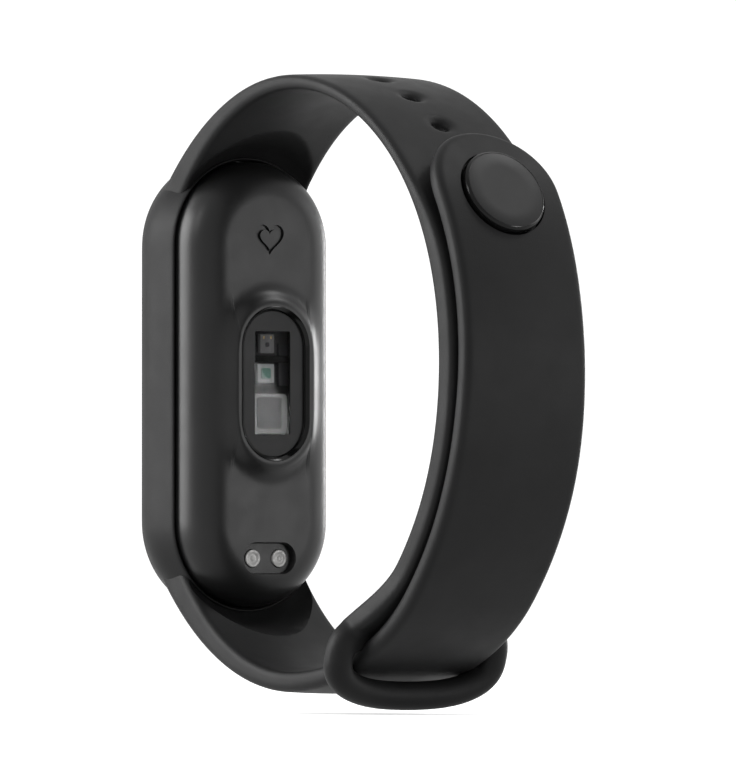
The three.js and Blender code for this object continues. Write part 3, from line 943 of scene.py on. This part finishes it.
def make_contacts():
    """Two turned contacts, each with a flange under the shell and a lightly cupped face."""
    low, face = CONTACT_LOW.x - FRONT_X, CONTACT_FACE
    flange = [(low, 0.1), (low, 1.35), (low + 0.45, 1.38), (low + 0.48, 1.0)]
    edge = [(face - 0.12, 0.99), (face - 0.03, 0.95), (face, 0.86), (face - 0.01, 0.62)]
    cup = [(face - 0.05, 0.5), (face - 0.05, 0.3), (face - 0.02, 0.2), (face - 0.02, 0.05)]
    for label, side in (("near", -1), ("far", 1)):
        matrix = Matrix.Translation((FRONT_X, side * abs(CONTACT_Y), CONTACT_Z))
        contact = as_object(f"charging_pin_{label}", turned(flange + edge + cup, matrix, 56))
        finish_piece(contact, PLATING, "tracker", (f"charge_contact_{label}",), sharp=50)


def dress_inner_nodes():
    """The CAD's own solids inside the tracker keep their shapes and get real finishes."""
    finishes = {
        "glass_gasket": FOAM, "display_module": DISPLAY, "touch_sensor": FLEX, "display_flex": FLEX,
        "inner_frame": INNER_PLASTIC, "battery": FOIL, "battery_pad": FOAM, "main_board": BOARD,
        "shield_can": STEEL, "processor_chip": CHIP, "motion_chip": CHIP, "antenna": FLEX,
        "motor_case": STEEL, "motor_shaft": STEEL, "motor_weight": STEEL, "sensor_flex": FLEX,
        "contact_spring_near": PLATING, "contact_spring_far": PLATING,
        "charge_magnet_near": STEEL, "charge_magnet_far": STEEL,
    }
    for name, material in finishes.items():
        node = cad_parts[name]
        for slot in node.material_slots:
            slot.material = material


# ---- stage -----------------------------------------------------------------------------------

def area_light(name, place, aim, size, power, spin=0.0):
    """A rectangular light at a place in metres, turned towards its aim."""
    data = bpy.data.lights.new(name, "AREA")
    data.shape = "RECTANGLE"
    data.size, data.size_y = size
    data.energy = power
    light = bpy.data.objects.new(name, data)
    bpy.context.scene.collection.objects.link(light)
    toward = (Vector(place) - Vector(aim)).to_track_quat("Z", "Y").to_matrix().to_4x4()
    light.matrix_world = Matrix.Translation(place) @ toward @ Matrix.Rotation(spin, 4, "Z")


def make_stage():
    floor = as_object("floor", bmesh.new())
    bm = bmesh.new()
    bmesh.ops.create_circle(bm, cap_ends=True, segments=96, radius=6)
    bm.to_mesh(floor.data)
    bm.free()
    floor.location.z = CAD_BOX[0][2] - 0.0004
    floor.data.materials.append(pale_floor("pale_floor"))

    world = bpy.data.worlds.new("studio")
    world.use_nodes = True
    world.node_tree.nodes["Background"].inputs["Color"].default_value = (1, 1, 1, 1)
    world.node_tree.nodes["Background"].inputs["Strength"].default_value = 1.15
    bpy.context.scene.world = world

    area_light("key", (-0.55, -0.75, 0.2), (0, 0, 0), (0.7, 0.7), 21)
    area_light("top", (0.1, 0.1, 0.9), (0, 0, 0), (0.8, 0.8), 1)
    area_light("rim", (0.3, 0.9, 0.1), (0, 0, 0), (0.5, 0.6), 3)
    # A small card that the lower part of the sensor window reflects.
    window = (FRONT_X * MM / 2, 0, 0)
    area_light("card", (0.4978, 0.2968, -0.027), window, (0.12, 0.12), 1.1, spin=math.radians(36))
    # Small lights for the polished edges round the window and the clasp's cap.
    area_light("upper glint", (0.2, 0.52, 0.72), (0, 0, 0), (0.22, 0.22), 2.4)
    area_light("side glint", (-0.3, 0.85, 0.0), (0, 0, 0), (0.16, 0.3), 2.4)
    area_light("cap glint", (0.1, -0.75, 0.47), (0, 0, 0), (0.12, 0.3), 1.6)
    bpy.context.scene.view_settings.view_transform = "Standard"


def make_camera():
    """A long lens a metre away, a little below the band's middle."""
    azimuth, elevation = math.radians(55), math.radians(-1.3)
    right = Vector((math.cos(azimuth), math.sin(azimuth), 0))
    back = Vector((math.sin(azimuth) * math.cos(elevation), -math.cos(azimuth) * math.cos(elevation),
                   math.sin(elevation)))
    up = back.cross(right)
    aim = Vector((1.12, 1.6, 0.24)) * MM
    data = bpy.data.cameras.new("camera")
    data.sensor_width = 36
    data.lens = 460.7
    data.clip_start = 0.05
    camera = bpy.data.objects.new("camera", data)
    bpy.context.scene.collection.objects.link(camera)
    axes = Matrix((right, up, back)).transposed().to_4x4()
    camera.matrix_world = Matrix.Translation(aim + back * 1.0) @ axes
    bpy.context.scene.camera = camera


make_camera()
make_hole_arm()
make_button_arm()
make_pod_frame()
make_cap()
make_cap_rim()
make_stud()
make_shell()
make_window_rim()
make_front_glass()
make_window_bezel()
make_window_pane()
make_sensor()
make_contacts()
dress_inner_nodes()
make_stage()
